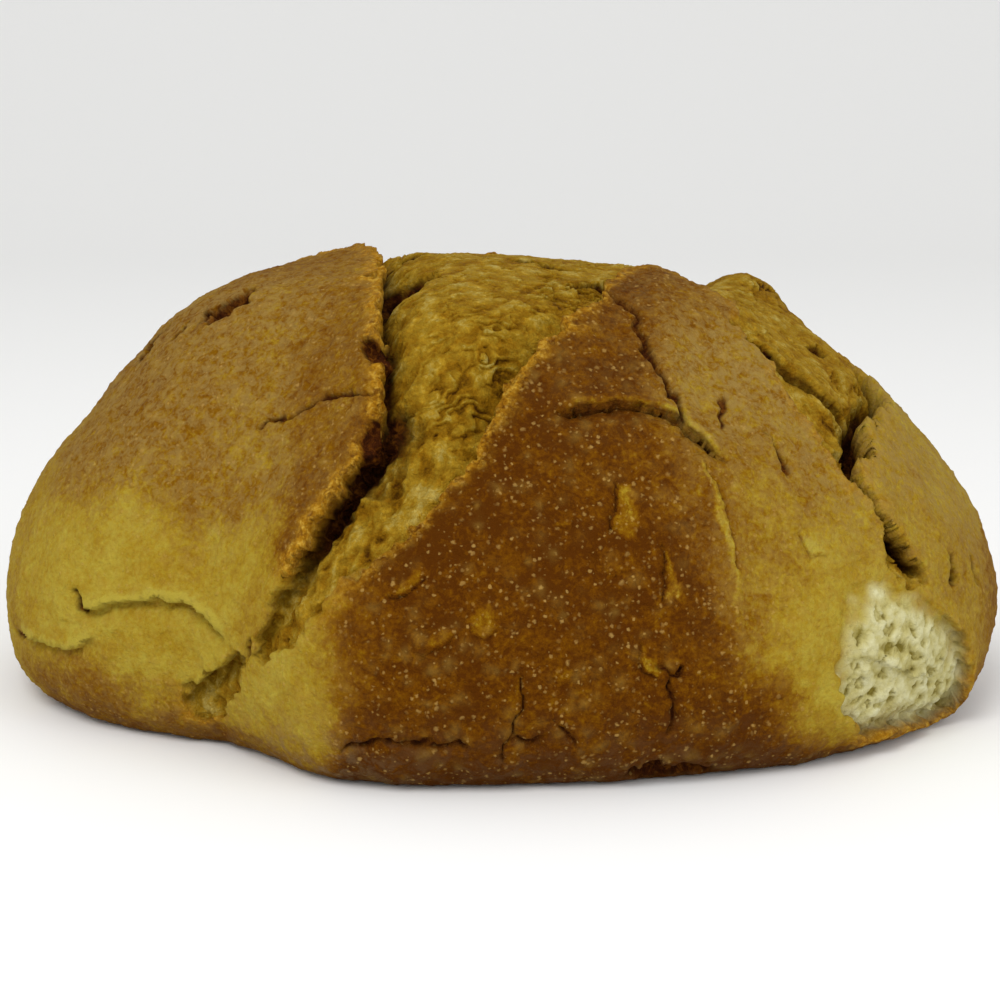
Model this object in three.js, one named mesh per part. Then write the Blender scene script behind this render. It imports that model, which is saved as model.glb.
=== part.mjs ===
// A semolina loaf: a round hearth loaf that opened in the oven along a cross-shaped cut.
// It stands on its flat base at z = 0, with +Z up, and the origin at the middle of the base.
// The crust is a dome in four lobes, front, left, back and right. Between them the crumb swelled
// out of the cut and shows a few millimetres below the crust. The dough also split at one foot,
// and at another it was torn from the loaf that it touched in the oven.
// The loaf was baked as one piece, so it is one solid.
import * as THREE from "three";

// Driving dimensions, in millimetres
const crownHeight = 128;
const crustMapReach = 200; // on the crust map, how far the edge of the base is from the crown
const lipRun = 9; // over how wide a band the crust steps down to the crumb
const lipRise = 1.5; // how far the crust curls up beside an opening
const baseEdgeShare = 0.93; // where the openings run out, as a share of the way down the side
const girthRows = 42;
const girthSegments = 96;

// Plan of the widest girth: an oval, fuller or pulled in toward some sides. Angles are in degrees,
// anticlockwise from +X.
const halfLength = 149;
const halfDepth = 129;
const planSwells = [
  { name: "corner torn from the next loaf", toward: 332, reach: 20, out: 6 },
  { name: "foot under the front left cut", toward: 228, reach: 17, out: -18 },
  { name: "flatter front", toward: 276, reach: 22, out: -4 },
];

// Side profile from the crown to the edge of the base, as shares of plan radius and crown height
const sideProfile = [
  [0, 1],
  [0.2, 0.993],
  [0.38, 0.968],
  [0.52, 0.925],
  [0.66, 0.81],
  [0.79, 0.665],
  [0.9, 0.52],
  [0.97, 0.37],
  [1, 0.22],
  [0.985, 0.09],
  [0.93, 0.015],
  [0.88, 0],
];

// The openings, as outlines on the crust map. A point of this map lies in the direction from the
// crown that it has in plan, and its distance from the middle is how far it is from the crown
// along the crust.
const openings = [
  {
    name: "cross",
    depth: 4.5,
    outline: [
      [-84, -140], // lower end of the front left arm
      [-58, -122],
      [-36, -101],
      [-34, -66],
      [-38, -30],
      [-41, 16], // tip of the left lobe
      [-70, 44],
      [-124, 80], // lower end of the back left arm
      [-92, 80],
      [-50, 66],
      [-8, 58], // tip of the back lobe
      [28, 78],
      [74, 132], // lower end of the back right arm
      [86, 134],
      [72, 84],
      [70, 44],
      [78, 8], // tip of the right lobe
      [89, -30],
      [102, -66],
      [126, -86], // lower end of the front right arm
      [113, -88],
      [95, -80],
      [73, -60],
      [52, -36],
      [36, -26], // tip of the front lobe
      [27, -61],
      [2, -100],
      [-17, -126],
      [-43, -139],
      [-76, -146],
    ],
  },
  {
    name: "foot split",
    depth: 5,
    outline: [
      [-87, -138],
      [-107, -131],
      [-123, -127],
      [-128, -134],
      [-118, -141],
      [-96, -144],
    ],
  },
  {
    name: "torn corner",
    depth: 4,
    outline: [
      [107, -126],
      [105, -108],
      [122, -91],
      [138, -85],
      [158, -80],
      [172, -80],
      [166, -98],
      [150, -115],
      [133, -133],
      [116, -132],
    ],
  },
];

// Soft swellings of the whole loaf: where on the crust map, how far they reach, and their height
const swellings = [
  { name: "left lobe's lifted tip", at: [-42, 12], reach: 16, rise: 4 },
  { name: "left lobe's shoulder", at: [-88, 6], reach: 30, rise: 2.5 },
  { name: "crumb on the crown", at: [-10, 2], reach: 34, rise: 4 },
  { name: "crumb beside the right lobe", at: [62, 14], reach: 18, rise: 5 },
];

const profileCurve = new THREE.SplineCurve(
  sideProfile.map(([out, up]) => new THREE.Vector2(out * halfLength, up * crownHeight)),
);

// Plan radius at an azimuth, which is in radians.
function planRadius(azimuth) {
  let radius = 1 / Math.hypot(Math.cos(azimuth) / halfLength, Math.sin(azimuth) / halfDepth);
  for (const { toward, reach, out } of planSwells) {
    const away = THREE.MathUtils.radToDeg(azimuth) - toward;
    const shortWay = THREE.MathUtils.euclideanModulo(away + 180, 360) - 180;
    radius += out * Math.exp(-((shortWay / reach) ** 2));
  }
  return radius;
}

// How far a point of the crust map is inside an outline: below 0, it is outside.
function distanceInside(x, y, outline) {
  let inside = false;
  let nearest = Infinity;
  outline.forEach(([ax, ay], i) => {
    const [bx, by] = outline[(i + 1) % outline.length];
    const [dx, dy] = [bx - ax, by - ay];
    const along = ((x - ax) * dx + (y - ay) * dy) / (dx * dx + dy * dy);
    const at = THREE.MathUtils.clamp(along, 0, 1);
    nearest = Math.min(nearest, Math.hypot(x - ax - at * dx, y - ay - at * dy));
    if (ay > y !== by > y && x < ax + ((y - ay) / dy) * dx) inside = !inside;
  });
  return inside ? nearest : -nearest;
}

// How far the surface stands out from the plain dome at a point of the crust map.
function reliefAt(x, y) {
  let relief = 0;
  for (const { at, reach, rise } of swellings) {
    const away = Math.hypot(x - at[0], y - at[1]) / reach;
    relief += rise * Math.exp(-away * away);
  }
  for (const { depth, outline } of openings) {
    const inside = distanceInside(x, y, outline);
    relief -= depth * THREE.MathUtils.smoothstep(inside, 0, lipRun);
    relief += lipRise * Math.exp(-((inside / lipRun) ** 2));
  }
  const share = Math.hypot(x, y) / crustMapReach;
  return relief * (1 - THREE.MathUtils.smoothstep(share, baseEdgeShare, 1));
}

// The point on the loaf at an azimuth and a share of the way from the crown to the base's edge.
function loafPoint(azimuth, share) {
  const profile = profileCurve.getPointAt(share);
  const along = profileCurve.getTangentAt(share);
  const mapped = crustMapReach * share;
  const relief = reliefAt(mapped * Math.cos(azimuth), mapped * Math.sin(azimuth));
  const out = (profile.x / halfLength) * planRadius(azimuth) - along.y * relief;
  const up = Math.max(profile.y + along.x * relief, 0);
  return new THREE.Vector3(out * Math.cos(azimuth), out * Math.sin(azimuth), up);
}

// A sphere whose rings move onto the loaf: the last ring but one is the edge of the base, and
// the last point is the middle of the base.
function loafGeometry() {
  const rings = girthRows + 1;
  const sphere = new THREE.SphereGeometry(1, girthSegments, rings);
  const { position, uv } = sphere.attributes;
  for (let i = 0; i < position.count; i++) {
    const ring = Math.round((1 - uv.getY(i)) * rings);
    const point = new THREE.Vector3();
    if (ring < rings) point.copy(loafPoint(2 * Math.PI * uv.getX(i), ring / girthRows));
    if (ring === 0) point.set(0, 0, point.z);
    position.setXYZ(i, point.x, point.y, point.z);
  }
  sphere.computeBoundingBox();
  const middle = sphere.boundingBox.getCenter(new THREE.Vector3());
  sphere.translate(-middle.x, -middle.y, 0);
  sphere.computeVertexNormals();
  return sphere;
}

const loaf = new THREE.Mesh(
  loafGeometry(),
  new THREE.MeshStandardMaterial({ color: 0xa97a34, roughness: 0.75, metalness: 0 }),
);
loaf.name = "loaf";

const group = new THREE.Group();
group.add(loaf);

export default group;
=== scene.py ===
import math

import bpy
import numpy as np
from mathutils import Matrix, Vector


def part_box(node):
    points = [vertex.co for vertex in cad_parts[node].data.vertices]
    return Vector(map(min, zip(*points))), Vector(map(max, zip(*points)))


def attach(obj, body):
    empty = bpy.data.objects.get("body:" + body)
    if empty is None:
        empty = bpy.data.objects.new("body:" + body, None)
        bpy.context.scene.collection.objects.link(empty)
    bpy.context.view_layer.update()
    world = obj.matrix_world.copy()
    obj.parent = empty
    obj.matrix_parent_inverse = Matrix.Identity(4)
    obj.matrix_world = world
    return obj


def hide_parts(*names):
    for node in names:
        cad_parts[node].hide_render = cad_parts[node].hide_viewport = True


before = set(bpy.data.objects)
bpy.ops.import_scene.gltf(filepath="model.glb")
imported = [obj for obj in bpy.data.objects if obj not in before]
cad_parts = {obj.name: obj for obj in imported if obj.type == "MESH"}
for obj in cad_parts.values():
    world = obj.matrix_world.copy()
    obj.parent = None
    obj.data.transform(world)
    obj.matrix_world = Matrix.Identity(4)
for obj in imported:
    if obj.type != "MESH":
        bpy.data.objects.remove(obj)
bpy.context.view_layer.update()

loafLow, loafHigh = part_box("loaf")
mm = 0.001


def deselectAll():
    bpy.ops.object.select_all(action="DESELECT")


def smoothStep(value, low, high):
    t = np.clip((value - low) / (high - low), 0.0, 1.0)
    return t * t * (3 - 2 * t)


def bell(value, width):
    return np.exp(-(value / width) ** 2)


def spot(points, at, reach, turn=0.0, stretch=1.0):  # a soft round or oval spot on the crust map
    c, s = math.cos(math.radians(turn)), math.sin(math.radians(turn))
    dx, dy = points[:, 0] - at[0], points[:, 1] - at[1]
    along = (dx * c + dy * s) / stretch
    across = dy * c - dx * s
    return np.exp(-(along ** 2 + across ** 2) / reach ** 2)


def cellRandom(ix, iy, iz, seed):  # a repeatable random number for every cell of a grid
    h = ix * 73856093 ^ iy * 19349663 ^ iz * 83492791 ^ seed * 265443576
    h = (h ^ (h >> 13)) * 1274126177 & 0x7FFFFFFF
    h = (h ^ (h >> 15)) * 668265263 & 0x7FFFFFFF
    return ((h ^ (h >> 16)) & 0xFFFFFF) / 16777215.0


gradients = np.array([(1, 1, 0), (-1, 1, 0), (1, -1, 0), (-1, -1, 0),
                      (1, 0, 1), (-1, 0, 1), (1, 0, -1), (-1, 0, -1),
                      (0, 1, 1), (0, -1, 1), (0, 1, -1), (0, -1, -1)], dtype=np.float32)


def noise(points, size, seed):  # smooth noise, about -1 to 1, whose lumps are about this size
    p = points / size
    cell = np.floor(p).astype(np.int64)
    f = (p - cell).astype(np.float32)
    fade = f * f * f * (f * (f * 6 - 15) + 10)
    total = np.zeros(len(points), dtype=np.float32)
    for corner in range(8):
        c = np.array([corner & 1, corner >> 1 & 1, corner >> 2 & 1])
        pick = cellRandom(*(cell + c).T, seed)
        gradient = gradients[(pick * 11.999).astype(int)]
        weight = np.prod(np.where(c == 1, fade, 1 - fade), axis=1)
        total += weight * np.sum(gradient * (f - c.astype(np.float32)), axis=1)
    return total * 1.4


def layers(points, size, seed, count):  # noise on top of noise, each half as wide and high
    total = 0.0
    for i in range(count):
        total = total + 0.5 ** i * noise(points, size * 0.5 ** i, seed + 7 * i)
    return total


def cells(points, size, seed):  # distance to the nearest scattered dot, in mm, and that dot's number
    p = points / size
    cell = np.floor(p).astype(np.int64)
    f = p - cell
    nearest = np.full(len(points), 9.0)
    number = np.zeros(len(points))
    for i in range(27):
        c = np.array([i % 3 - 1, i // 3 % 3 - 1, i // 9 - 1])
        key = (cell + c).T
        dot = np.stack([cellRandom(*key, seed + k) for k in range(3)], axis=1)
        away = np.linalg.norm(c + dot - f, axis=1)
        closer = away < nearest
        nearest = np.where(closer, away, nearest)
        number = np.where(closer, cellRandom(*key, seed + 3), number)
    return nearest * size, number


# How far a path on the crust map is, the place along it in corners, the side (1 is left), and the
# nearest point on it
def nearestOnPath(points, path, closed=False):
    path = np.asarray(path, dtype=float)
    count = len(path) if closed else len(path) - 1
    best = np.full(len(points), 1e9)
    place = np.zeros(len(points))
    side = np.zeros(len(points))
    foot = np.zeros((len(points), 2))
    for i in range(count):
        a, b = path[i, :2], path[(i + 1) % len(path), :2]
        ab = b - a
        rel = points - a
        t = np.clip(rel @ ab / (ab @ ab), 0, 1)
        at = a + t[:, None] * ab
        away = np.linalg.norm(points - at, axis=1)
        closer = away < best
        best = np.where(closer, away, best)
        place = np.where(closer, i + t, place)
        side = np.where(closer, np.sign(ab[0] * rel[:, 1] - ab[1] * rel[:, 0]), side)
        foot = np.where(closer[:, None], at, foot)
    return best, place, side, foot


def isInside(points, outline):  # whether points lie inside an outline on the crust map
    outline = np.asarray(outline, dtype=float)
    inside = np.zeros(len(points), dtype=bool)
    for a, b in zip(outline, np.roll(outline, -1, axis=0)):
        if a[1] == b[1]:
            continue
        crosses = (a[1] > points[:, 1]) != (b[1] > points[:, 1])
        at = a[0] + (points[:, 1] - a[1]) / (b[1] - a[1]) * (b[0] - a[0])
        inside ^= crosses & (points[:, 0] < at)
    return inside


def curveThrough(corners, steps=24):  # a smooth curve that starts level, at the crown
    p = np.asarray(corners, dtype=float)
    p = np.vstack([[-p[1, 0], p[1, 1]], p, 2 * p[-1] - p[-2]])
    u = np.linspace(0, 1, steps, endpoint=False)[:, None]
    parts = []
    for a, b, c, d in zip(p, p[1:], p[2:], p[3:]):
        parts.append(0.5 * (2 * b + (c - a) * u + (2 * a - 5 * b + 4 * c - d) * u ** 2
                            + (3 * b - a - 3 * c + d) * u ** 3))
    return np.vstack(parts + [p[-2:-1]])


# The loaf's plain form, and its crust map. The map is flat: a point on it lies in the direction
# from the crown that it has in plan, as far from the middle as it is from the crown along the crust.
form = {
    "crownHeight": 128.0,  # mm
    "mapReach": 200.0,  # where the map meets the edge of the base
    "domeAngle": 128.0,  # how much of the starting ball becomes the dome, the rest is the base
    "halfLength": 149.0,
    "halfDepth": 129.0,
    # where the plan is fuller or pulled in: toward (degrees from +X), reach, how far out
    "planSwells": [(332, 20, 6), (228, 17, -18), (276, 22, -4)],
    "sideProfile": [(0, 1), (0.2, 0.993), (0.38, 0.968), (0.52, 0.925), (0.66, 0.81),
                    (0.79, 0.665), (0.9, 0.52), (0.97, 0.37), (1, 0.22), (0.985, 0.09),
                    (0.93, 0.015), (0.88, 0)],  # shares of radius and height, crown to base
}


def planRadius(azimuth):  # an oval, fuller or pulled in toward some sides
    radius = 1 / np.hypot(np.cos(azimuth) / form["halfLength"], np.sin(azimuth) / form["halfDepth"])
    for toward, reach, out in form["planSwells"]:
        away = (np.degrees(azimuth) - toward + 180) % 360 - 180
        radius = radius + out * bell(away, reach)
    return radius


sideCurve = curveThrough(form["sideProfile"])
sideSteps = np.diff(sideCurve * [form["halfLength"], form["crownHeight"]], axis=0)
sideLength = np.cumsum(np.hypot(*sideSteps.T))
sideLength = np.append(0, sideLength) / sideLength[-1]


def onLoaf(mapPoints):  # the place on the plain loaf of a point of the crust map, in mm
    azimuth = np.arctan2(mapPoints[:, 1], mapPoints[:, 0])
    share = np.hypot(mapPoints[:, 0], mapPoints[:, 1]) / form["mapReach"]
    out = np.interp(share, sideLength, sideCurve[:, 0]) * planRadius(azimuth)
    out = out * np.clip(2 - share, 0, 1)  # past the edge, the base runs in to its middle
    up = np.interp(share, sideLength, sideCurve[:, 1]) * form["crownHeight"]
    return np.stack([out * np.cos(azimuth), out * np.sin(azimuth), up], axis=1)


# The openings, as outlines on the crust map. Each corner: place, how far the crumb lies
# below the crust there (drop), how much deeper the gap right under the lip goes (gap), and how far
# the crust curls up (curl) and hangs over (hang).
cross = {
    "corners": [
        (-86, -142, 3, 0, 0, 0), (-78, -137, 4, 1, 1, 1), (-70, -131, 5, 2, 1, 1.5),
        (-62, -125, 6, 4, 1.5, 2.5), (-50, -115, 7, 7, 2, 3), (-41, -106, 7, 6, 1.5, 3),
        (-33, -98, 6, 5, 1, 2), (-33, -83, 5, 5, 1, 2.5), (-34, -66, 5, 4, 1, 2),
        (-36, -50, 5, 4, 1, 2), (-37, -34, 5, 6, 2, 2), (-31, -14, 5, 6, 1.2, 2),
        (-35, 12, 4, 4, 4.2, 1),  # tip of the left lobe
        (-56, 32, 4, 3, 3, 1), (-72, 46, 5, 3, 2, 1), (-96, 62, 5, 2, 1, 1),
        (-122, 78, 4, 0, 0, 0), (-116, 84, 3, 0, 1, 0), (-92, 80, 4, 2, 1, 1),
        (-64, 74, 4, 3, 1.5, 1), (-34, 63, 4, 3, 0.5, 1),
        (-8, 58, 3, 2, 0, 1),  # tip of the back lobe
        (16, 68, 4, 3, 0.5, 1), (38, 88, 5, 4, 1.5, 1.5), (58, 112, 5, 3, 1, 1),
        (76, 134, 3, 0, 0, 0), (84, 132, 3, 0, 0.5, 0), (82, 108, 4, 3, 1, 1),
        (76, 84, 4, 2, 1, 1), (76, 62, 3, 0.5, 0.5, 0.5),
        (84, 42, 2, 0, 0.3, 0),  # tip of the right lobe
        (98, 20, 2, 0.5, 0.3, 0.5), (108, -4, 4, 4, 0.8, 2), (110, -24, 5, 5, 1, 2),
        (106, -40, 6, 8, 1, 3), (102, -52, 7, 9, 1, 3.5), (103, -62, 7, 9, 1, 3.5),
        (100, -71, 6, 7, 1, 3), (107, -76, 6, 9, 1, 3), (114, -80, 6, 8, 1, 3),
        (122, -83, 5, 5, 1, 2), (127, -86, 3, 1, 0, 0),
        (120, -94, 2, 0, 0.3, 0), (112, -91, 3, 1, 1, 0.5), (108, -86, 5, 3, 1.2, 1),
        (103, -82, 6, 4, 1.2, 1), (98, -81, 5, 3, 1, 1),
        (95, -79, 3, 0, 0.6, 0), (84, -68, 2.4, 0, 0.3, 0), (73, -59, 2, 0, 0.3, 0),
        (62, -45, 1.2, 0, 0.2, 0), (52, -30, 1, 0, 0.5, 0),
        (44, -22, 1.5, 0, 1, 0),  # tip of the front lobe
        (36, -27, 3, 2, 1.5, 0), (31, -44, 3.5, 2, 1.2, 0.5), (27, -61, 3.5, 1.5, 1.2, 0.5),
        (21, -70, 3.5, 1.5, 1.2, 0.5), (16, -78, 4, 1.5, 1.2, 0.5), (8, -89, 4, 1.5, 1.2, 0.5),
        (2, -100, 4, 1.5, 1, 0.5), (-5, -114, 4, 1, 1, 0.5), (-17, -126, 3, 0.5, 0.8, 0),
        (-29, -132, 2, 0, 0.5, 0), (-43, -139, 1.5, 0, 0.3, 0), (-62, -145, 2, 0, 0.3, 0),
        (-79, -146, 3, 0, 0.3, 0),
    ],
}
footSplit = {
    "corners": [
        (-88, -138, 3, 0, 0, 0), (-97, -135, 4, 1, 0.5, 0.5), (-107, -132, 5, 2, 1, 1),
        (-117, -128, 5, 2, 1, 1), (-124, -127, 4, 1, 0.5, 0), (-129, -132, 3, 0, 0, 0),
        (-122, -140, 3, 0, 0.3, 0), (-109, -143, 4, 0, 0.3, 0), (-97, -143, 4, 0, 0.3, 0),
    ],
}
tornCorner = {
    "corners": [
        (107, -126, 1, 0, 0, 0), (104, -112, 0.6, 0, 0, 0), (108, -101, 0.5, 0, 0, 0),
        (121, -92, 0.6, 0, 0, 0), (134, -87, 1.5, 0, 0.5, 0), (148, -81, 3, 1, 1, 0.5),
        (160, -79, 3, 1, 1.5, 1), (172, -82, 3, 1, 2, 1), (166, -97, 3, 1, 2, 1),
        (150, -114, 3, 1, 2, 1), (137, -130, 3, 1, 1.5, 1), (120, -134, 3, 0, 1, 0),
    ],
}

# How high the crumb stands between the lips, beside the plain form: place, reach, height,
# and for an oval the way it runs and how long it is
crumbSwells = [
    {"at": (-4, -14), "reach": 26, "rise": 3.2},
    {"at": (-2, -78), "reach": 9, "rise": 1.6, "turn": 60, "stretch": 1.6},
    {"at": (-10, -60), "reach": 22, "rise": 2.0, "turn": 80, "stretch": 1.6},
    {"at": (-22, 8), "reach": 16, "rise": 2.0},
    {"at": (68, 8), "reach": 12, "rise": 6.5},
    {"at": (84, -52), "reach": 9, "rise": 2.0, "turn": -60, "stretch": 1.8},
    {"at": (92, -22), "reach": 11, "rise": 3.4, "turn": -55, "stretch": 2.6},
    {"at": (-28, -117), "reach": 13, "rise": -4.0, "turn": 50, "stretch": 2.2},
    {"at": (24, -20), "reach": 14, "rise": -1.5},
]
crumbLevel = -3.0

# Swellings of the whole loaf, crust and crumb alike
loafSwells = [
    {"at": (-86, 4), "reach": 30, "rise": 2.5},
    {"at": (56, 10), "reach": 5.5, "rise": -4.5, "turn": 80, "stretch": 5.0},
    {"at": (156, -20), "reach": 20, "rise": 2.5},
]


# The section across a lip. Along it, a step of 1 is about 1 mm: out from the crust, round the
# edge, back under it, along the floor of the gap and out to the crumb.
lipSection = {
    "step": [-6, -1.0, 0, 0.7, 1.7, 2.8, 5, 9],
    "shift": [0, 0, 0, -0.6, -1.7, -1.7, -0.8, 0],  # sideways, on a plain step
    "hang": [0, 0.4, 1, 0.8, -0.5, -0.4, 0, 0],  # sideways, for each mm of overhang
    "fall": [0, 0, 0.03, 0.35, 0.8, 1, 1, 1],  # share of the drop
    "gap": [0, 0, 0, 0.3, 0.8, 1, 0.5, 0],  # share of the gap's depth
    "fullDrop": 3,  # mm of drop that give a lip all its overhang and its golden edge
    "crumbFrom": 0.2, "crumbTo": 2.0,  # the steps between which crust turns to crumb
    "curlReach": 5.5,  # mm of crust that curl up with a lip
    "edgeAt": -0.4, "edgeWidth": 1.9,  # the golden edge
}


def chipped(values):  # noise with flatter tops and steeper flanks, as crust breaks
    return np.sign(values) * np.abs(values) ** 0.6


def openingRelief(points, opening, wobble):  # how an opening shapes the crust and crumb near it
    corners = np.array(opening["corners"], dtype=float)
    away, place, _, foot = nearestOnPath(points + wobble, corners, closed=True)
    inside = isInside(points + wobble, corners)
    signed = np.where(inside, away, -away)
    i = np.floor(place).astype(int) % len(corners)
    u = (place - np.floor(place))[:, None]
    drop, gap, curl, hang = ((1 - u) * corners[i, 2:] + u * corners[(i + 1) % len(corners), 2:]).T
    inward = (points + wobble - foot) * np.where(inside, 1, -1)[:, None]
    inward /= np.maximum(np.linalg.norm(inward, axis=1), 1e-6)[:, None]
    shape = {key: np.interp(signed, lipSection["step"], lipSection[key])
             for key in ("shift", "hang", "fall", "gap")}
    full = np.minimum(drop / lipSection["fullDrop"], 1)
    shift = shape["shift"] * full + hang * shape["hang"]
    curled = np.exp(-np.maximum(-signed, 0) / lipSection["curlReach"])
    return {"signed": signed, "drop": drop,
            "open": smoothStep(signed, lipSection["crumbFrom"], lipSection["crumbTo"]),
            "fall": shape["fall"], "gap": gap * shape["gap"],
            "shift": inward * shift[:, None],
            "lift": curl * curled * (1 - shape["fall"]),
            "edge": bell(signed - lipSection["edgeAt"], lipSection["edgeWidth"]) * full}


# Pits: holes where a blister broke or the lip tore, with painted shade inside. A tone under 1 keeps
# its painted shade from going dark.
pits = [
    {"at": (-67, -25), "reach": 4.0, "deep": 5.0, "turn": 24, "stretch": 2.2},  # left lobe
    {"at": (-92, -8), "reach": 4.0, "deep": 4.0, "turn": 60, "stretch": 1.6},
    {"at": (-81, -23), "reach": 1.8, "deep": 2.5, "turn": 30, "stretch": 2.0},
    {"at": (-26, -36), "reach": 7.5, "deep": 9.0, "turn": 75, "stretch": 1.7},  # by the ear
    {"at": (-30, -106), "reach": 7.0, "deep": 2.5, "turn": 60, "stretch": 1.8, "tone": 0.42},
    {"at": (-36, -101), "reach": 2.0, "deep": 4.0, "turn": 65, "stretch": 2.4},
    {"at": (-35, -75), "reach": 2.8, "deep": 5.0, "turn": 110, "stretch": 2.0},
    {"at": (-20, 2), "reach": 5.0, "deep": 4.5, "turn": 10, "stretch": 1.6},
    {"at": (28, -30), "reach": 3.4, "deep": 5.0, "turn": 35, "stretch": 2.6},
    {"at": (12, -10), "reach": 3.4, "deep": 4.0, "turn": -20, "stretch": 2.4},
    {"at": (84, -26), "reach": 2.0, "deep": 4.0, "turn": -60, "stretch": 1.6},
    {"at": (68, -50), "reach": 1.8, "deep": 3.0, "turn": -20, "stretch": 2.6},
    {"at": (134, -71), "reach": 2.0, "deep": 3.0, "turn": -60, "stretch": 2.4, "tone": 0.6},
    {"at": (143, -61), "reach": 1.7, "deep": 2.5, "turn": -30, "stretch": 2.2, "tone": 0.6},
    {"at": (61, -152), "reach": 1.3, "deep": 2.2, "turn": 60, "stretch": 1.6},
    {"at": (-86, -139), "reach": 1.6, "deep": 3.0, "turn": 30, "stretch": 1.8},
    {"at": (74, -178), "reach": 4.0, "deep": 9.0, "turn": 18, "stretch": 5.0},  # charred foot
]

# Keels: soft ridges where two faces of a lobe meet
keels = [
    {"path": [(40, -26), (46, -60), (52, -91), (62, -108), (72, -124), (75, -138)], "rise": 2.2,
     "reach": 9},
    {"path": [(0, 62), (6, 96), (2, 130)], "rise": 2.0, "reach": 14},
    {"path": [(96, 10), (124, -6), (150, -10)], "rise": 1.2, "reach": 16},
]

# Cracks: a fine groove through the crust, drawn as a dark line of painted shade
cracks = [
    {"path": [(29, -46), (34, -56), (38, -60), (42, -71), (48, -81), (53, -93)], "deep": 2.2},
    {"path": [(75, -82), (78, -86), (82, -91)], "deep": 1.8},
    {"path": [(61, -75), (62, -82), (64, -88)], "deep": 1.0},
    {"path": [(-76, -80), (-65, -84), (-57, -84), (-50, -84), (-41, -86), (-33, -90)],
     "deep": 1.8},
    {"path": [(5, -186), (6, -178), (11, -170), (12, -163)], "deep": 2.0},
    {"path": [(7, -177), (13, -178), (20, -178)], "deep": 2.4, "width": 0.9},
    {"path": [(63, -168), (64, -163), (59, -158), (58, -153)], "deep": 2.0},
    {"path": [(-56, -172), (-48, -174), (-36, -177), (-24, -178), (-8, -178)], "deep": 2.2,
     "width": 0.9},
    {"path": [(33, -178), (28, -174), (24, -172)], "deep": 1.6},
    {"path": [(52, -154), (57, -152), (61, -155)], "deep": 1.4},
    {"path": [(-137, -78), (-134, -82), (-138, -88)], "deep": 2.2, "width": 1.2},
    {"path": [(-165, -52), (-163, -60), (-158, -66)], "deep": 1.8, "width": 0.9},
    {"path": [(30, 100), (40, 120), (38, 140)], "deep": 1.6},
    {"path": [(-40, 150), (-10, 156), (20, 152)], "deep": 1.4},
    {"path": [(130, 20), (142, 30), (158, 32)], "deep": 1.4},
    {"path": [(-110, 20), (-124, 24), (-140, 20)], "deep": 1.4},
]

# Folds: the crust on the left of the path stands over the crust on its right, with a painted
# highlight along its rim and, where a fold is deep, painted shade in its crease
folds = [
    {"path": [(17, -99), (25, -96), (33, -93), (41, -90), (48, -90), (52, -91), (59, -94),
              (66, -98)], "rise": 2.4, "sink": 2.6, "deep": 1.8},
    {"path": [(-140, -84), (-130, -92), (-121, -100), (-110, -111), (-102, -121), (-96, -131)],
     "rise": 1.4, "sink": 2.6, "deep": 0},
    {"path": [(-160, -60), (-156, -71), (-151, -81), (-145, -90), (-137, -95)],
     "rise": 1.2, "sink": 1.6, "deep": 0},
    {"path": [(64, -46), (70, -49), (78, -51), (86, -51), (93, -49), (100, -50)],
     "rise": 1.6, "sink": 2.2, "deep": 2.4},
]

# Chips: thin scales of crust that lifted or flaked off, paler than the crust round them. Their first
# side is the lifted one, with a painted shadow under it.
chips = [
    {"corners": [(57, -98), (66, -110), (72, -124), (75, -133), (70, -124), (63, -111)],
     "rise": 0.4},
    {"corners": [(36, -127), (37, -121), (36, -114), (40, -113), (43, -119), (42, -127)],
     "rise": 0.7},
    {"corners": [(-30, -143), (-25, -144), (-19, -141), (-20, -138), (-25, -140)], "rise": 0.7},
    {"corners": [(-6, -154), (-1, -156), (3, -152), (0, -148), (-5, -149)], "rise": 0.35},
    {"corners": [(-22, -158), (-15, -157), (-9, -153), (-15, -153), (-21, -156)], "rise": 0.35},
    {"corners": [(47, -150), (49, -155), (54, -156), (57, -153), (53, -152), (49, -151)],
     "rise": 0.6},
    {"corners": [(53, -138), (52, -130), (51, -126), (54, -129), (58, -136)], "rise": 0.6},
    {"corners": [(20, -128), (24, -129), (25, -126), (21, -125)], "rise": 0.3},
    {"corners": [(30, -134), (37, -138), (41, -134), (36, -131)], "rise": 0.25},
    {"corners": [(20, -163), (25, -165), (28, -161), (23, -159)], "rise": 0.25},
    {"corners": [(88, -104), (92, -108), (95, -105), (91, -102)], "rise": 0.3},
    {"corners": [(20, 120), (28, 126), (34, 120), (26, 114)], "rise": 0.5},
    {"corners": [(-20, 140), (-28, 146), (-34, 140), (-26, 134)], "rise": 0.5},
]

# Where the crumb tore into plates, on the crust map: place and reach
flakyPlaces = [(16, -50, 13), (24, -32, 10), (4, -82, 12), (-6, -96, 10), (-2, -104, 9),
               (70, 0, 8), (98, -32, 9), (40, 60, 16), (-40, 40, 14), (-28, 18, 9)]


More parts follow.
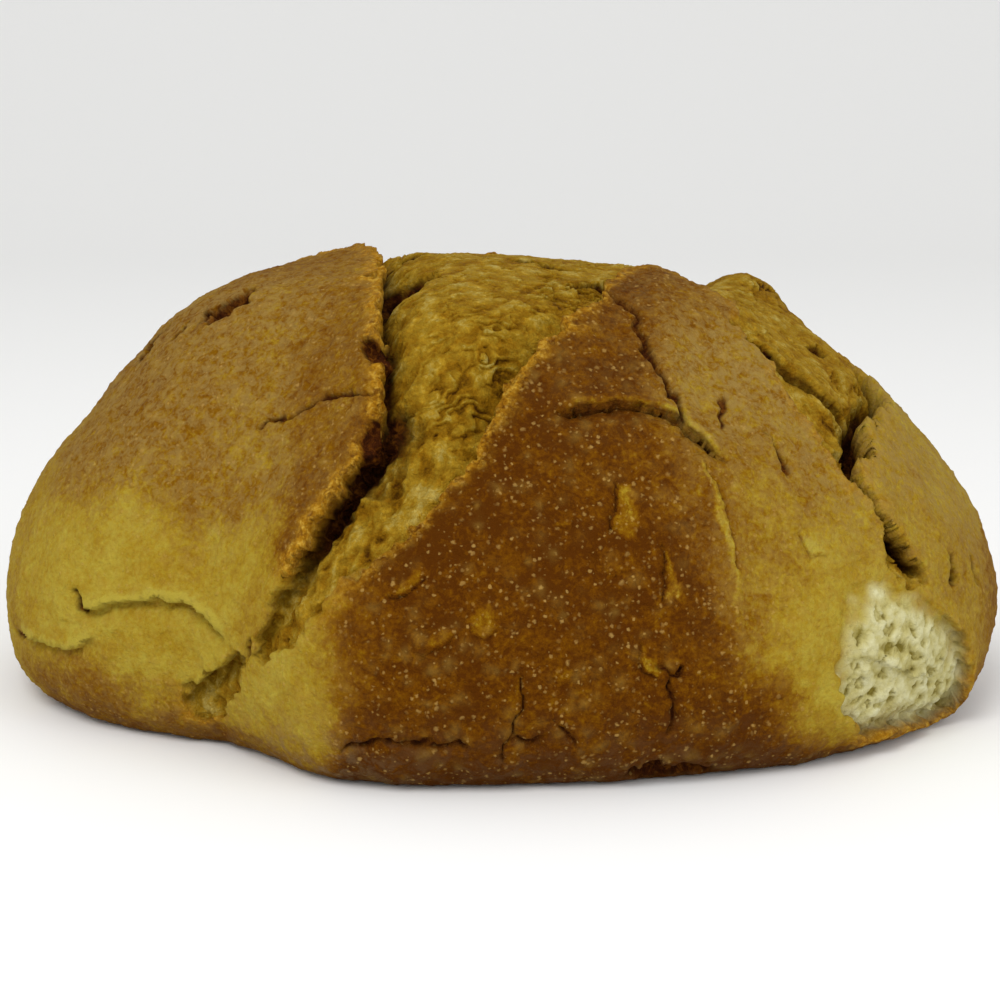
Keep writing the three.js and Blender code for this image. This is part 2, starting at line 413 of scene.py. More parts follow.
# The faces of the crust that took the oven's heat alike: how dark (0 pale, 1 dark brown) and how
# much tan haze lies on them
bakedFaces = [
    # front lobe
    {"at": (34, -70), "reach": 14, "turn": 75, "stretch": 2.0, "dark": 0.84, "tan": 0.1},
    {"at": (4, -130), "reach": 26, "turn": 20, "stretch": 1.4, "dark": 0.94, "tan": 0.0},
    {"at": (16, -168), "reach": 19, "turn": 5, "stretch": 2.0, "dark": 0.88, "tan": 0.0},
    {"at": (72, -74), "reach": 16, "turn": -50, "stretch": 2.0, "dark": 0.46, "tan": 1.0},
    {"at": (80, -108), "reach": 14, "turn": -60, "stretch": 1.6, "dark": 0.46, "tan": 0.4},
    {"at": (100, -116), "reach": 16, "turn": -60, "stretch": 1.6, "dark": 0.10, "tan": 0.1},
    {"at": (104, -156), "reach": 11, "turn": 25, "stretch": 2.0, "dark": 0.88, "tan": 0.0},
    {"at": (-72, -150), "reach": 12, "turn": 10, "stretch": 1.8, "dark": 0.20, "tan": 0.25},
    # left lobe
    {"at": (-48, 4), "reach": 14, "turn": 0, "stretch": 1.0, "dark": 0.60, "tan": 0.4},
    {"at": (-47, -66), "reach": 8, "turn": 85, "stretch": 4.0, "dark": 0.62, "tan": 0.3},
    {"at": (-80, -38), "reach": 23, "turn": 30, "stretch": 1.4, "dark": 0.54, "tan": 0.8},
    {"at": (-90, -84), "reach": 14, "turn": 50, "stretch": 1.6, "dark": 0.50, "tan": 0.7},
    {"at": (-130, -82), "reach": 17, "turn": -50, "stretch": 2.2, "dark": 0.12, "tan": 0.1},
    {"at": (-158, -48), "reach": 16, "turn": 90, "stretch": 1.4, "dark": 0.24, "tan": 0.4},
    {"at": (-160, -96), "reach": 9, "turn": -50, "stretch": 4.0, "dark": 0.48, "tan": 0.4},
    {"at": (-102, 34), "reach": 24, "turn": 0, "stretch": 1.2, "dark": 0.48, "tan": 0.9},
    {"at": (-152, 36), "reach": 24, "turn": 90, "stretch": 1.4, "dark": 0.28, "tan": 0.5},
    {"at": (-112, 108), "reach": 20, "turn": 40, "stretch": 1.6, "dark": 0.38, "tan": 0.5},
    # right lobe
    {"at": (120, -26), "reach": 24, "turn": 60, "stretch": 1.4, "dark": 0.24, "tan": 0.9},
    {"at": (138, -72), "reach": 12, "turn": 30, "stretch": 1.6, "dark": 0.30, "tan": 0.5},
    {"at": (172, -30), "reach": 16, "turn": 80, "stretch": 2.0, "dark": 0.58, "tan": 0.3},
    {"at": (112, 56), "reach": 24, "turn": 60, "stretch": 1.4, "dark": 0.50, "tan": 0.8},
    {"at": (146, 98), "reach": 22, "turn": 60, "stretch": 1.6, "dark": 0.46, "tan": 0.5},
    # back lobe
    {"at": (0, 96), "reach": 28, "turn": 0, "stretch": 1.3, "dark": 0.84, "tan": 0.15},
    {"at": (0, 150), "reach": 24, "turn": 0, "stretch": 2.0, "dark": 0.58, "tan": 0.4},
]
footDarkening = 0.3  # the crust bakes darker all round where it meets the hearth


loafMesh = {
    "cuts": 2,  # across each side of the starting cube
    "splits": 7,  # how often each of those squares is then halved
    "triangles": 195000,  # how many are kept
}


def startBall():
    deselectAll()
    bpy.ops.mesh.primitive_cube_add(size=2)
    ball = bpy.context.object
    ball.name = "baked_loaf"
    bpy.ops.object.mode_set(mode="EDIT")
    bpy.ops.mesh.select_all(action="SELECT")
    bpy.ops.mesh.subdivide(number_cuts=loafMesh["cuts"])
    bpy.ops.object.mode_set(mode="OBJECT")
    finer = ball.modifiers.new("finer", "SUBSURF")
    finer.subdivision_type = "SIMPLE"
    finer.levels = finer.render_levels = loafMesh["splits"]
    rounder = ball.modifiers.new("rounder", "CAST")
    rounder.cast_type = "SPHERE"
    rounder.factor = 1.0
    bpy.ops.object.modifier_apply(modifier="finer")
    bpy.ops.object.modifier_apply(modifier="rounder")
    return ball


def readPoints(mesh):
    flat = np.empty(len(mesh.vertices) * 3, dtype=np.float32)
    mesh.vertices.foreach_get("co", flat)
    return flat.reshape(-1, 3).astype(float)


def writePoints(mesh, points):
    mesh.vertices.foreach_set("co", points.astype(np.float32).ravel())
    mesh.update()


def readNormals(mesh):
    flat = np.empty(len(mesh.vertices) * 3, dtype=np.float32)
    mesh.vertex_normals.foreach_get("vector", flat)
    return flat.reshape(-1, 3).astype(float)


def paint(mesh, name, values):  # a number for each vertex, which the finish reads
    layer = mesh.attributes.new(name, "FLOAT", "POINT")
    layer.data.foreach_set("value", values.astype(np.float32))


def crustMapOf(directions):  # where a point of the starting ball goes on the crust map
    polar = np.degrees(np.arccos(np.clip(directions[:, 2], -1, 1)))
    share = np.where(polar < form["domeAngle"], polar / form["domeAngle"],
                     1 + (polar - form["domeAngle"]) / (180 - form["domeAngle"]))
    flat = np.maximum(np.hypot(directions[:, 0], directions[:, 1]), 1e-9)
    return directions[:, :2] / flat[:, None] * (share * form["mapReach"])[:, None]


# Unevenness all over the loaf: how high it stands and how wide its lumps are, in mm
lumpSizes = {
    "lipSweeps": (1.6, 11), "lipChips": (1.5, 5.0), "lipFrays": (0.7, 2.2),
    "swells": (0.9, 34), "lumps": (0.45, 13), "lipLayers": (0.5, 2.6),
    "pebbles": (0.20, 1.7), "dimples": (0.34, 3.6), "streaks": (0.55, 10), "blisters": (0.42, 4.6),
    "toneSweeps": (7, 30), "toneFrays": (3.5, 10),
}


def lumpsOf(points, kind, seed):  # noise as high and wide as this kind of lump
    high, wide = lumpSizes[kind]
    return high * noise(points, wide, seed)


def makeLoaf():
    loaf = startBall()
    mesh = loaf.data
    directions = readPoints(mesh)
    directions /= np.linalg.norm(directions, axis=1)[:, None]
    mapped = crustMapOf(directions)
    plain = onLoaf(mapped)
    share = np.hypot(mapped[:, 0], mapped[:, 1]) / form["mapReach"]
    print("loaf: starting ball", len(plain))

    # lips wander a little, on three scales
    chipHigh, chipWide = lumpSizes["lipChips"]
    wobble = np.stack([lumpsOf(plain, "lipSweeps", k)
                       + chipHigh * chipped(noise(plain, chipWide, k + 1))
                       + lumpsOf(plain, "lipFrays", k + 2) for k in (11, 21)], axis=1)
    openings = [openingRelief(mapped, o, wobble) for o in (cross, footSplit, tornCorner)]
    print("loaf: openings")

    height = swellOf(loafSwells, mapped)
    height = height + lumpsOf(plain, "swells", 31) + lumpsOf(plain, "lumps", 32)
    for keel in keels:
        away, _, _, _ = nearestOnPath(mapped, keel["path"])
        height = height + keel["rise"] * np.exp(-away / keel["reach"])
    height = height + openedRelief(plain, mapped, openings)
    height, marks = addMarks(height, mapped, wobble)
    height = height * (1 - smoothStep(share, 0.94, 1.0))  # the base stays plain
    print("loaf: marks")

    writePoints(mesh, plain)
    shift = sum(o["shift"] for o in openings)
    points = onLoaf(mapped + shift) + readNormals(mesh) * height[:, None]
    points[:, 2] = np.maximum(points[:, 2], 0)
    writePoints(mesh, points)
    print("loaf: form done")

    crumb, split, torn = (o["open"] for o in openings)
    whitened = openings[2]["signed"] + 3.0 * noise(plain, 6, 36) + 0.08 * (mapped[:, 0] - 130)
    torn = torn * smoothStep(whitened, -1, 7)  # the white bread fades in from the left
    opened = np.maximum(np.maximum(crumb, split), torn)
    fine, domes = crustRelief(plain, mapped)
    ragged = opened > 0.02
    soft = np.zeros(len(points))
    soft[ragged] = crumbRelief(plain[ragged], mapped[ragged], torn[ragged])
    fine = fine * (1 - opened) + soft * opened
    fine *= 1 - smoothStep(share, 0.96, 1.0)
    points = points + readNormals(mesh) * fine[:, None]
    points[:, 2] = np.maximum(points[:, 2], 0)

    drift = np.stack([lumpsOf(plain, "toneSweeps", k) + lumpsOf(plain, "toneFrays", k + 1)
                      for k in (41, 44)], axis=1)
    bake, haze = toneAt(mapped + drift)
    # painted shade: the deeper the gap under a lip, the darker it is painted
    gapShadeShare = sum(o["gap"] for o in openings) / 6
    dusted = 0.25 + 0.75 * spot(mapped, (-74, -168), 30)
    paint(mesh, "crumb", np.maximum(crumb, split))
    paint(mesh, "torn", torn)
    # painted shade of each gap, pit and crack
    paint(mesh, "gap", np.clip(gapShadeShare + marks["pitShade"] + marks["crackShade"], 0, 1))
    paint(mesh, "edge", np.clip(sum(o["edge"] for o in openings), 0, 1))
    paint(mesh, "bake", bake)
    paint(mesh, "haze", haze)
    # painted shade: the lower the fine relief sits, the darker the crumb and the white bread are
    # painted there
    paint(mesh, "hollowShade", np.clip(0.3 - fine / 1.5, 0, 1))
    # the chips' own paler crust, and a painted highlight along the rims of the folds
    paint(mesh, "chip", np.maximum(marks["chip"], 0.8 * marks["rimHighlight"]))
    # painted highlight where the blisters dome up
    paint(mesh, "blister", domes * (1 - opened))
    paint(mesh, "flour", smoothStep(share, 0.84, 0.97) * dusted)

    middle = (np.array(loafLow) + np.array(loafHigh)) / 2
    own = (plain.min(axis=0) + plain.max(axis=0)) / 2 * mm
    points = points * mm + [middle[0] - own[0], middle[1] - own[1], 0]
    writePoints(mesh, points)
    print("loaf: fine relief", points.min(axis=0), points.max(axis=0))

    thin = loaf.modifiers.new("thin", "DECIMATE")
    thin.ratio = min(1.0, loafMesh["triangles"] / (2 * len(mesh.polygons)))
    bpy.ops.object.modifier_apply(modifier="thin")
    deselectAll()
    loaf.select_set(True)
    bpy.context.view_layer.objects.active = loaf
    bpy.ops.object.shade_smooth()
    print("loaf: faces kept", len(loaf.data.polygons))
    return loaf, middle - own


def openedRelief(plain, mapped, openings):  # the crumb's level, the gaps and the lifted lips
    relief = 0
    layerHigh, layerWide = lumpSizes["lipLayers"]
    strata = layerHigh * chipped(noise(plain * [1, 1, 2.4], layerWide, 35))
    level = crumbLevel + swellOf(crumbSwells, mapped)
    for opening in openings:
        inner = opening is openings[0]
        relief = relief + strata * bell(opening["signed"] - 1.6, 1.6) * opening["drop"] / 3
        beside = bell(np.maximum(opening["signed"] - 3, 0), 7)
        floor = np.where(inner, level, -opening["drop"])
        floor = floor + beside * (-opening["drop"] - floor)
        relief = relief + floor * opening["fall"] - opening["gap"] + opening["lift"]
    return relief


def addMarks(height, mapped, wobble):  # folds, cracks, chips and pits, and where each shows
    crackShade, rimHighlight, chip, pitShade = np.zeros((4, len(mapped)))
    for fold in folds:
        away, _, side, _ = nearestOnPath(mapped + 0.4 * wobble, fold["path"])
        fade = smoothStep(nearestEnds(mapped, fold["path"]), 0, 7)
        height = height + fade * np.where(side > 0, fold["rise"] * np.exp(-away / 4.5),
                                          -fold["sink"] * bell(away, 2.6))
        height = height - fade * fold["deep"] * bell(away, 0.8)
        # painted highlight along the fold's raised rim
        rimHighlight = np.maximum(rimHighlight, fade * (side > 0) * bell(away - 0.8, 0.9))
        # painted shade in the crease of a deep fold
        crackShade = np.maximum(crackShade, 0.6 * fade * (fold["deep"] > 0) * bell(away, 0.7))
    for crack in cracks:
        away, _, _, _ = nearestOnPath(mapped + 0.7 * wobble, crack["path"])
        slit = bell(away, crack.get("width", 0.75)) * smoothStep(
            nearestEnds(mapped, crack["path"]), 0, 3)
        height = height - crack["deep"] * slit
        # painted shade along the crack
        crackShade = np.maximum(crackShade, 0.85 * slit)
    for scale in chips:
        away, place, _, _ = nearestOnPath(mapped + 0.5 * wobble, scale["corners"], closed=True)
        within = isInside(mapped + 0.5 * wobble, scale["corners"])
        lifted = np.where(place < 2, 1.0, 0.15)
        height = height + within * scale["rise"] * lifted * np.exp(-away / 2.5)
        under = ~within * (place < 2) * bell(away - 0.2, 0.6)
        height = height - 1.4 * scale["rise"] * under
        # painted shadow under the lifted side of a chip
        crackShade = np.maximum(crackShade, min(0.8, scale["rise"]) * under)
        chip = np.maximum(chip, within * smoothStep(away, 0, 0.5) * min(1, 2 * scale["rise"]))
    for pit in pits:
        frayed = mapped + wobble * min(1.6, pit["reach"] / 3)
        hole = spot(frayed, pit["at"], pit["reach"], pit["turn"], pit["stretch"])
        height = height - pit["deep"] * smoothStep(hole, 0.25, 0.62)
        # painted shade inside the pit
        pitShade = np.maximum(pitShade, smoothStep(hole, 0.24, 0.48) * pit.get("tone", 1.0))
    return height, {"crackShade": crackShade, "rimHighlight": rimHighlight, "chip": chip, "pitShade": pitShade}


def crustRelief(plain, mapped):  # pebbles, streaks that run down the sides, and round blisters
    reach = np.hypot(mapped[:, 0], mapped[:, 1])
    around = mapped / np.maximum(reach, 1e-6)[:, None] * 110
    streakHigh, streakWide = lumpSizes["streaks"]
    streaks = noise(np.column_stack([around, reach * 0.3]), streakWide, 53)
    streaks = streaks * smoothStep(reach, 60, 110)
    loose = plain + 1.2 * np.stack([noise(plain, 4, k) for k in (54, 55, 56)], axis=1)
    blisterHigh, blisterWide = lumpSizes["blisters"]
    awayBlister, blister = cells(loose, blisterWide, 57)
    domes = (blister > 0.45) * bell(awayBlister, 0.5 + 1.1 * blister)
    fine = (lumpsOf(plain, "pebbles", 51) + lumpsOf(plain, "dimples", 52) + streakHigh * streaks
            + blisterHigh * domes)
    return fine, domes


def swellOf(swells, points):  # how far the swellings lift each point
    return sum(s["rise"] * spot(points, s["at"], s["reach"], s.get("turn", 0),
                                s.get("stretch", 1)) for s in swells)


def toneAt(points):  # how dark the crust baked, and how much tan haze lies on it
    weight = np.full(len(points), 1e-12)
    bake, haze = weight * 0.5, weight * 0.5
    for face in bakedFaces:
        w = spot(points, face["at"], face["reach"], face["turn"], face["stretch"])
        weight, bake, haze = weight + w, bake + w * face["dark"], haze + w * face["tan"]
    foot = smoothStep(np.hypot(points[:, 0], points[:, 1]) / form["mapReach"], 0.88, 0.98)
    return bake / weight + footDarkening * foot, haze / weight * (1 - 0.6 * foot)


def nearestEnds(points, path):  # how far the nearer end of a path is
    ends = np.array([path[0], path[-1]], dtype=float)
    return np.min(np.linalg.norm(points[:, None] - ends[None], axis=2), axis=1)


# The crumb: stretched gluten, which tore into plates and slits across the cut, and into threads
# down it, and the white bread of the torn corner. Sizes are in mm.
crumbForm = {
    "layerSpacing": 5.0, "plateSize": 3.4, "threadSize": 3.4,
    "slitSpacing": 3.0, "slitsLeftOut": 0.62,
    "threadsFrom": 98, "threadsTo": 114,  # how far from the crown plates turn to threads
    "lumpSize": 5.0, "smallLumpSize": 2.2, "poresLeftOut": 0.85,
}


def crumbRelief(plain, mapped, torn):
    reach = np.hypot(mapped[:, 0], mapped[:, 1])
    warp = np.stack([noise(plain, 7, k) for k in (61, 62, 63)], axis=1)
    around = 70 * np.arctan2(mapped[:, 1], mapped[:, 0])
    across = reach + 0.45 * mapped[:, 0]  # the tears run round the crown and rise to the right
    along = around + 0.5 * mapped[:, 0]
    tears = np.column_stack([along * 0.45, across, plain[:, 2] * 0.3]) + 1.6 * warp
    flaky = np.clip(sum(spot(mapped, (x, y), size) for x, y, size in flakyPlaces), 0.12, 1)
    thready = smoothStep(reach, crumbForm["threadsFrom"], crumbForm["threadsTo"])

    layer = (across / crumbForm["layerSpacing"] + 1.6 * noise(plain, 12, 65)
             + 0.7 * noise(plain, 3.5, 66))
    layer = layer - np.floor(layer)
    lip = np.minimum(layer / 0.9, (1 - layer) / 0.1)  # a slow rise, then a steep fall
    patchy = smoothStep(noise(plain, 7, 67), -0.15, 0.25)
    awayPlate, plate = cells(tears, crumbForm["plateSize"], 71)
    awaySlit, slit = cells(tears * [0.7, 1.2, 1], crumbForm["slitSpacing"], 74)
    leftOut = crumbForm["slitsLeftOut"]
    slits = (slit > leftOut) * smoothStep(0.25 + 1.2 * (slit - leftOut) - awaySlit, -0.1, 0.35)
    threads = np.column_stack([around, reach * 0.2, plain[:, 2] * 0.2]) + warp
    threads = 1 - np.abs(layers(threads, crumbForm["threadSize"], 64, 3))
    gluten = (0.16 * noise(plain, 1.2, 68) + 0.40 * noise(plain, 5, 69)
              + (0.40 + 1.00 * flaky) * patchy * (1 - thready) * (lip - 0.6)
              + 0.8 * flaky * (plate - 0.5) - 0.3 * flaky * awayPlate / 1.7
              + 0.9 * thready * (threads - 0.7) - (0.7 + 0.7 * flaky) * slits)

    lumpAway, lump = cells(plain + 2.2 * warp, crumbForm["lumpSize"], 81)
    smallAway, small = cells(plain + 1.0 * warp, crumbForm["smallLumpSize"], 85)
    bread = (0.20 * (1 - (lumpAway / 2.8) ** 2) + 0.30 * (lump - 0.5)
             + 0.20 * (1 - (smallAway / 1.2) ** 2) - 0.8 * (small > crumbForm["poresLeftOut"])
             + 0.5 * noise(plain, 4.0, 87) + 0.25 * noise(plain, 1.1, 88))
    return gluten * (1 - torn) + bread * torn


def colorOf(red, green, blue):  # a colour named as 0-255 on screen, as the shader wants it
    parts = [c / 255 for c in (red, green, blue)]
    return [c / 12.92 if c < 0.04045 else ((c + 0.055) / 1.055) ** 2.4 for c in parts] + [1]


baked = {
    "crustTones": [(0.0, (164, 146, 52)), (0.25, (148, 119, 26)), (0.5, (120, 80, 2)),
                   (0.75, (98, 56, 0)), (1.0, (76, 38, 0))],  # pale to dark
    "haze": (140, 114, 60),
    # painted highlight on the blisters
    "blister": (162, 130, 56),
    "flourSpeck": (182, 146, 78),
    "crumbTones": [(0.0, (76, 44, 2)), (0.35, (140, 98, 10)), (0.7, (168, 132, 32)),
                   (1.0, (190, 166, 84))],
    "tornTones": [(0.0, (128, 114, 48)), (0.4, (178, 168, 108)), (1.0, (206, 202, 160))],
    "edgeTones": [(0.3, (124, 78, 6)), (0.5, (160, 114, 22)), (0.7, (190, 152, 58))],
    # painted shade for each gap, pit and crack, from near black to brown
    "gapShadeTones": [(0.35, (32, 11, 2)), (0.5, (60, 26, 4)), (0.65, (104, 60, 10))],
    "dust": (134, 116, 84),
    "broadMottle": (18, 0.60), "grain": (4.0, 1.10), "fineGrain": (1.2, 0.70),  # size in mm, weight
    "chipAndRimPaler": 0.44,
    "hazeStrength": 0.85,
    "blisterHighlightStrength": 0.28,
    "dustStrength": 0.55,
    # flour specks: their spacing in mm, the widest as a share of it, and how many are left out
    "specks": [(3.4, 0.44, 0.45), (2.2, 0.54, 0.10), (1.4, 0.62, 0.0)],
    "speckUneven": 0.34,
    "speckSoft": 0.26,
    "speckRise": 0.00008,  # how high they stand, for each mm of spacing, in metres
    "pebbleRise": 0.0011, "tatterRise": 0.0022,  # metres
    "roughness": 0.8,
    "gloss": 0.04,
}


class Nodes:  # short names for building a node tree
    def __init__(self, tree):
        self.tree = tree
        self.place = self.add("TexCoord").outputs["Object"]

    def add(self, kind, **settings):
        node = self.tree.nodes.new("ShaderNode" + kind)
        for key, value in settings.items():
            setattr(node, key, value)
        return node

    def plug(self, socket, value):
        if isinstance(value, bpy.types.NodeSocket):
            self.tree.links.new(value, socket)
        else:
            socket.default_value = value

    def math(self, operation, a, b, clamp=False):
        node = self.add("Math", operation=operation, use_clamp=clamp)
        self.plug(node.inputs[0], a)
        self.plug(node.inputs[1], b)
        return node.outputs[0]

    def mix(self, factor, a, b):
        node = self.add("Mix", data_type="RGBA")
        for socket, value in zip((node.inputs[0], node.inputs[6], node.inputs[7]), (factor, a, b)):
            self.plug(socket, value)
        return node.outputs[2]

    def painted(self, name):
        return self.add("Attribute", attribute_name=name).outputs["Fac"]

    def noise(self, size, detail=2.0, rough=0.5, warp=0.0):  # size in mm
        node = self.add("TexNoise")
        self.plug(node.inputs["Vector"], self.place)
        for key, value in (("Scale", 1000 / size), ("Detail", detail), ("Roughness", rough),
                           ("Distortion", warp)):
            node.inputs[key].default_value = value
        return node.outputs["Fac"]

    def dots(self, size, uneven):  # dots this many mm apart, pushed about by a share of that
        wander = self.add("TexNoise")
        self.plug(wander.inputs["Vector"], self.place)
        wander.inputs["Scale"].default_value = 1600 / size
        wander.inputs["Detail"].default_value = 2.0
        push = self.add("VectorMath", operation="MULTIPLY_ADD")
        self.plug(push.inputs[0], wander.outputs["Color"])
        push.inputs[1].default_value = (uneven * size * 0.002,) * 3
        self.plug(push.inputs[2], self.place)
        node = self.add("TexVoronoi", feature="F1")
        self.plug(node.inputs["Vector"], push.outputs[0])
        node.inputs["Scale"].default_value = 1000 / size
        return node

    def ramp(self, factor, stops):
        node = self.add("ValToRGB")
        elements = node.color_ramp.elements
        while len(elements) < len(stops):
            elements.new(0.5)
        for element, (at, color) in zip(elements, stops):
            element.position = at
            element.color = colorOf(*color)
        self.plug(node.inputs[0], factor)
        return node.outputs[0]

    def between(self, value, low, high):  # 0 below low, 1 above high
        node = self.add("MapRange", interpolation_type="SMOOTHSTEP")
        for key, item in (("Value", value), ("From Min", low), ("From Max", high)):
            self.plug(node.inputs[key], item)
        return node.outputs["Result"]


def loafFinish():
    finish = bpy.data.materials.new("baked_crust")
    finish.use_nodes = True
    n = Nodes(finish.node_tree)
    shader = finish.node_tree.nodes["Principled BSDF"]
    bake, haze, flour = n.painted("bake"), n.painted("haze"), n.painted("flour")
    crumb, torn, gap = n.painted("crumb"), n.painted("torn"), n.painted("gap")
    edge, hollowShade, chip = n.painted("edge"), n.painted("hollowShade"), n.painted("chip")
    blister = n.painted("blister")

    # crust: mottled on three scales, less where it is pale, with a painted highlight making the
    # blisters paler
    (broadSize, broadWeight), (grainSize, grainWeight), (fineSize, fineWeight) = (
        baked[key] for key in ("broadMottle", "grain", "fineGrain"))
    grain = n.math("ADD", n.math("MULTIPLY", n.noise(grainSize, 4, 0.7, 0.8), grainWeight),
                   n.math("MULTIPLY", n.noise(fineSize, 2, 0.6), fineWeight))
    grain = n.math("SUBTRACT", grain, (grainWeight + fineWeight) / 2)
    broad = n.math("SUBTRACT", n.noise(broadSize, 3, 0.6), 0.5)
    rough = n.math("ADD", n.math("MULTIPLY", bake, 0.80), 0.35, clamp=True)
    mottle = n.math("ADD", n.math("MULTIPLY", broad, broadWeight), n.math("MULTIPLY", grain, rough))
    tone = n.math("ADD", bake, mottle)
    # paler chips, and the painted highlight on the fold rims
    tone = n.math("SUBTRACT", tone, n.math("MULTIPLY", chip, baked["chipAndRimPaler"]))
    crust = n.ramp(tone, baked["crustTones"])
    hazy = n.math("MULTIPLY", haze, n.between(n.noise(2.4, 4, 0.7, 0.8), 0.36, 0.62))
    hazy = n.math("MULTIPLY", hazy, baked["hazeStrength"])
    crust = n.mix(hazy, crust, colorOf(*baked["haze"]))
    blisterHighlight = n.math("MULTIPLY", blister, baked["blisterHighlightStrength"])
    crust = n.mix(blisterHighlight, crust, colorOf(*baked["blister"]))

    # flour specks: little uneven domes on some of the dots, easier to see on dark crust
    bumps, specks = 0.0, 0.0
    for size, widest, leftOut in baked["specks"]:
        dots = n.dots(size, baked["speckUneven"])
        chosen = n.add("SeparateColor")
        n.plug(chosen.inputs[0], dots.outputs["Color"])
        wide = n.math("MULTIPLY", n.between(chosen.outputs[0], leftOut, 1.4), widest)
        near = n.between(n.math("SUBTRACT", wide, dots.outputs["Distance"]), 0.0,
                         baked["speckSoft"])
        strong = n.math("ADD", n.math("MULTIPLY", chosen.outputs[1], 0.8), 0.2)
        specks = n.math("ADD", specks, n.math("MULTIPLY", near, strong), clamp=True)
        bumps = n.math("ADD", bumps, n.math("MULTIPLY", near, baked["speckRise"] * size))
    seen = n.math("ADD", n.math("MULTIPLY", bake, 0.36), 0.20)
    crust = n.mix(n.math("MULTIPLY", specks, seen), crust, colorOf(*baked["flourSpeck"]))

    # torn edges are golden where the crust is dark, and the foot is dusty
    golden = n.math("MULTIPLY", edge, n.between(n.noise(2.2, 4, 0.7, 0.6), 0.30, 0.62))
    golden = n.math("MULTIPLY", golden, n.between(bake, 0.15, 0.60))
    crust = n.mix(golden, crust, n.ramp(n.noise(1.6, 3, 0.7), baked["edgeTones"]))
    dusty = n.math("MULTIPLY", flour, n.between(n.noise(4, 4, 0.7, 0.5), 0.40, 0.66))
    dusty = n.math("MULTIPLY", dusty, baked["dustStrength"])
    crust = n.mix(dusty, crust, colorOf(*baked["dust"]))

    # crumb, with painted shade darkening its hollows, then the white bread with the same painted
    # shade, then painted shade in each gap, pit and crack
    crumbNoiseAndShade = n.math("SUBTRACT", n.noise(6, 4, 0.6, 0.5), n.math("MULTIPLY", hollowShade, 0.85))
    flecks = n.math("MULTIPLY", n.noise(1.6, 4, 0.75, 1.2), 0.9)
    soft = n.ramp(n.math("ADD", n.math("ADD", crumbNoiseAndShade, flecks), -0.07), baked["crumbTones"])
    color = n.mix(crumb, crust, soft)
    white = n.ramp(n.math("ADD", crumbNoiseAndShade, 0.34), baked["tornTones"])
    color = n.mix(torn, color, white)
    # painted shade in each gap, pit and crack
    paintedGapShade = n.ramp(n.noise(3.0, 4, 0.7, 0.6), baked["gapShadeTones"])
    color = n.mix(n.between(gap, 0.10, 0.85), color, paintedGapShade)
    n.plug(shader.inputs["Base Color"], color)
    shader.inputs["Roughness"].default_value = baked["roughness"]
    shader.inputs["Specular IOR Level"].default_value = baked["gloss"]

    # fine relief: pebbled crust, raised specks and tattered crumb
    pebble = n.math("MULTIPLY", n.noise(1.8, 4, 0.65), baked["pebbleRise"])
    pebble = n.math("ADD", pebble, bumps)
    tatter = n.math("MULTIPLY", crumb, baked["tatterRise"])
    tatter = n.math("MULTIPLY", n.noise(3.0, 5, 0.72, 1.6), tatter)
    bump = n.add("Bump")
    bump.inputs["Distance"].default_value = 1.0
    bump.inputs["Strength"].default_value = 1.0
    n.plug(bump.inputs["Height"], n.math("ADD", pebble, tatter))
    n.plug(shader.inputs["Normal"], bump.outputs[0])
    return finish


loaf, offset = makeLoaf()
loaf.data.materials.append(loafFinish())
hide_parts("loaf")
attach(loaf, "root")


# Stage and camera, in metres and degrees
stage = {"floorSize": 6.0, "wall": 3.0, "sweep": 1.6, "floorColor": (0.86, 0.86, 0.85, 1),
         "floorRoughness": 0.9, "roomLight": 0.85}
lamps = {"key": {"place": (-0.35, -0.9, 1.1), "size": 0.7, "power": 9},
         "fill": {"place": (0.9, -0.7, 0.6), "size": 1.0, "power": 3}}
view = {"distance": 0.62, "elevation": 12.0, "across": 0.0025, "targetHeight": 0.052,
        "lens": 72.0}


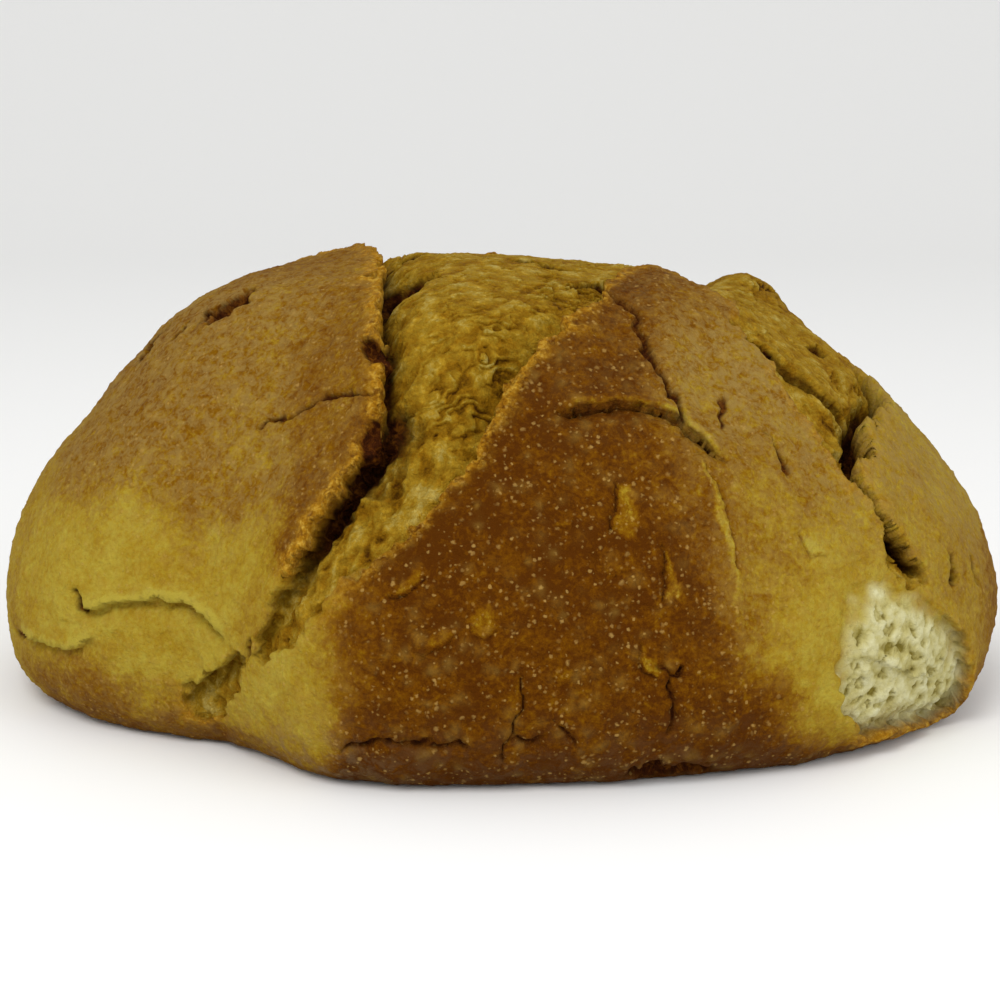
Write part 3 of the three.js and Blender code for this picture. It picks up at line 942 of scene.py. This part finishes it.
def makeFloor():  # a plain floor whose back edge sweeps up into a plain wall
    deselectAll()
    bpy.ops.mesh.primitive_plane_add(size=stage["floorSize"])
    floor = bpy.context.object
    floor.name = "floor"
    bpy.ops.object.mode_set(mode="EDIT")
    bpy.ops.mesh.select_all(action="DESELECT")
    bpy.ops.mesh.select_mode(type="EDGE")
    bpy.ops.object.mode_set(mode="OBJECT")
    for edge in floor.data.edges:
        ends = [floor.data.vertices[v].co.y for v in edge.vertices]
        edge.select = min(ends) > 0
    bpy.ops.object.mode_set(mode="EDIT")
    bpy.ops.mesh.extrude_region_move(TRANSFORM_OT_translate={"value": (0, 0, stage["wall"])})
    bpy.ops.object.mode_set(mode="OBJECT")
    sweep = floor.modifiers.new("sweep", "BEVEL")
    sweep.width = stage["sweep"]
    sweep.segments = 24
    bpy.ops.object.modifier_apply(modifier="sweep")
    bpy.ops.object.shade_smooth()
    finish = bpy.data.materials.new("pale_floor")
    finish.use_nodes = True
    shader = finish.node_tree.nodes["Principled BSDF"]
    shader.inputs["Base Color"].default_value = stage["floorColor"]
    shader.inputs["Roughness"].default_value = stage["floorRoughness"]
    floor.data.materials.append(finish)


def addLamp(name, place, size, power, target):
    deselectAll()
    bpy.ops.object.light_add(type="AREA", location=place)
    lamp = bpy.context.object
    lamp.name = name
    lamp.data.shape = "DISK"
    lamp.data.size = size
    lamp.data.energy = power
    aim = Vector(target) - Vector(place)
    lamp.rotation_euler = aim.to_track_quat("-Z", "Y").to_euler()


def makeCamera(target):
    deselectAll()
    tilt = math.radians(view["elevation"])
    away = Vector((0, -math.cos(tilt), math.sin(tilt))) * view["distance"]
    bpy.ops.object.camera_add(location=Vector(target) + away)
    camera = bpy.context.object
    camera.data.lens = view["lens"]
    camera.data.sensor_width = 36.0
    camera.rotation_euler = (-away).to_track_quat("-Z", "Y").to_euler()
    bpy.context.scene.camera = camera


makeFloor()
target = (offset[0] + view["across"], offset[1], view["targetHeight"])
makeCamera(target)
for name, lamp in lamps.items():
    addLamp(name, lamp["place"], lamp["size"], lamp["power"], target)
world = bpy.data.worlds.new("soft_room")
world.use_nodes = True
world.node_tree.nodes["Background"].inputs["Color"].default_value = (1, 1, 1, 1)
world.node_tree.nodes["Background"].inputs["Strength"].default_value = stage["roomLight"]
bpy.context.scene.world = world
bpy.context.scene.view_settings.view_transform = "Standard"
print("stage ready")
